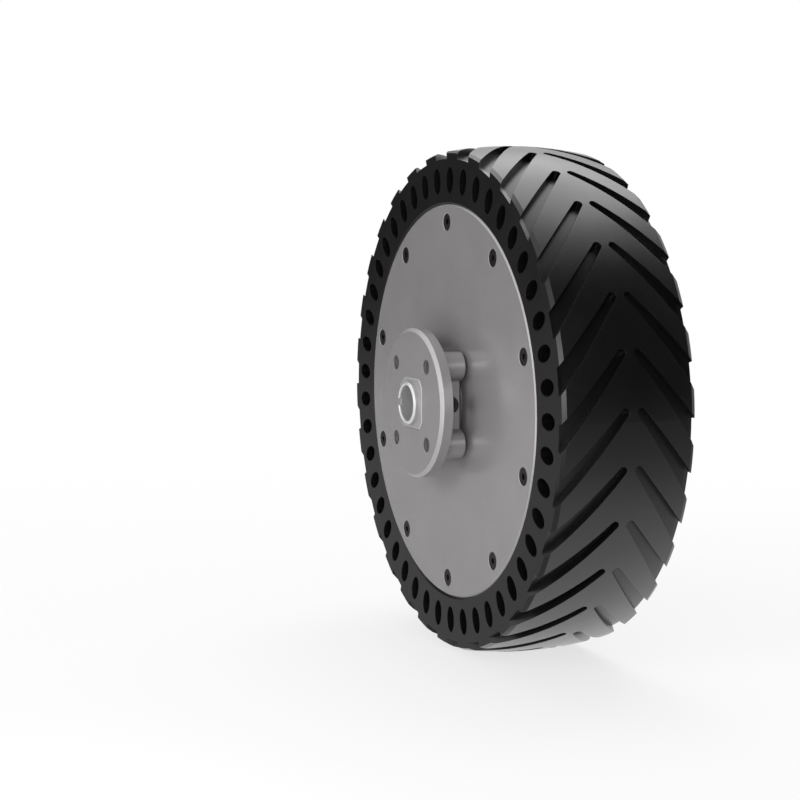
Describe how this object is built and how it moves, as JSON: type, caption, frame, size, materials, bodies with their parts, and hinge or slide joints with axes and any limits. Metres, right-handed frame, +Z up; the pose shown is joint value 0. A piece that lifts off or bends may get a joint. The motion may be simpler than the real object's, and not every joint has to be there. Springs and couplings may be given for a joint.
{
  "type": "hub motor wheel",
  "caption": "Outrunner hub motor in a chevron-tread airless tyre, held on a fixed hollow axle by a round bolt flange with a clover-shaped neck.",
  "frame": {"origin": "centre of the mounting flange's face, on the axle's line", "axes": "+Y runs along the axle from the flange's face into the wheel, so the flange faces -Y; +Z is up and +X is to the right as the flange is looked at"},
  "size_m": [0.1778, 0.0632, 0.1778],
  "materials": {
    "tyre_rubber": "matt moulded black rubber",
    "cover_aluminium": "fine bead-blasted grey anodised aluminium",
    "shell_aluminium": "turned and anodised aluminium",
    "flange_aluminium": "fine bead-blasted grey anodised aluminium",
    "carrier_aluminium": "turned aluminium",
    "axle_steel": "ground steel",
    "spring_steel": "phosphated spring steel",
    "black_screw": "black oxide steel",
    "bearing_steel": "polished bearing steel",
    "cage_phenolic": "machined phenolic",
    "iron": "turned low-carbon steel",
    "magnet_plating": "nickel plating",
    "lamination": "stacked electrical steel sheet",
    "insulator_nylon": "moulded natural nylon",
    "winding": "enamelled copper wire",
    "board": "green solder mask",
    "chip_black": "moulded epoxy",
    "seal_rubber": "nitrile rubber"
  },
  "bodies": {
    "stator": {"axle": "axle_steel", "mounting_flange": "flange_aluminium", "flange_grub_screws": "black_screw", "front_bearing_inner": "bearing_steel", "rear_bearing_inner": "bearing_steel", "front_circlip": "spring_steel", "carrier_circlip": "spring_steel", "stator_carrier": "carrier_aluminium", "carrier_key": "axle_steel", "stator_core": "lamination", "front_insulator": "insulator_nylon", "rear_insulator": "insulator_nylon", "coils_phase_a": "winding", "coils_phase_b": "winding", "coils_phase_c": "winding", "hall_board": "board", "hall_sensors": "chip_black", "board_screws": "spring_steel"},
    "rotor": {"tyre": "tyre_rubber", "rotor_shell": "shell_aluminium", "front_cover": "cover_aluminium", "cover_screws": "black_screw", "cover_seal_ring": "seal_rubber", "shaft_seal": "seal_rubber", "back_iron": "iron", "magnets": "magnet_plating", "front_bearing_outer": "bearing_steel", "rear_bearing_outer": "bearing_steel"},
    "front_ball_set": {"front_bearing_balls": "bearing_steel", "front_bearing_cage": "cage_phenolic"},
    "rear_ball_set": {"rear_bearing_balls": "bearing_steel", "rear_bearing_cage": "cage_phenolic"}
  },
  "joints": [
    {"name": "wheel_spin", "type": "hinge", "parent": "stator", "child": "rotor", "pos_m": [0, 0.03745, 0], "axis": [0, 1, 0], "continuous": true},
    {"name": "front_ball_spin", "type": "hinge", "parent": "stator", "child": "front_ball_set", "pos_m": [0, 0.0232, 0], "axis": [0, 1, 0], "continuous": true},
    {"name": "rear_ball_spin", "type": "hinge", "parent": "stator", "child": "rear_ball_set", "pos_m": [0, 0.0532, 0], "axis": [0, 1, 0], "continuous": true}
  ],
  "couplings": [
    {"joint": "front_ball_spin", "follows": "wheel_spin", "ratio": 0.55645},
    {"joint": "rear_ball_spin", "follows": "wheel_spin", "ratio": 0.56731}
  ]
}
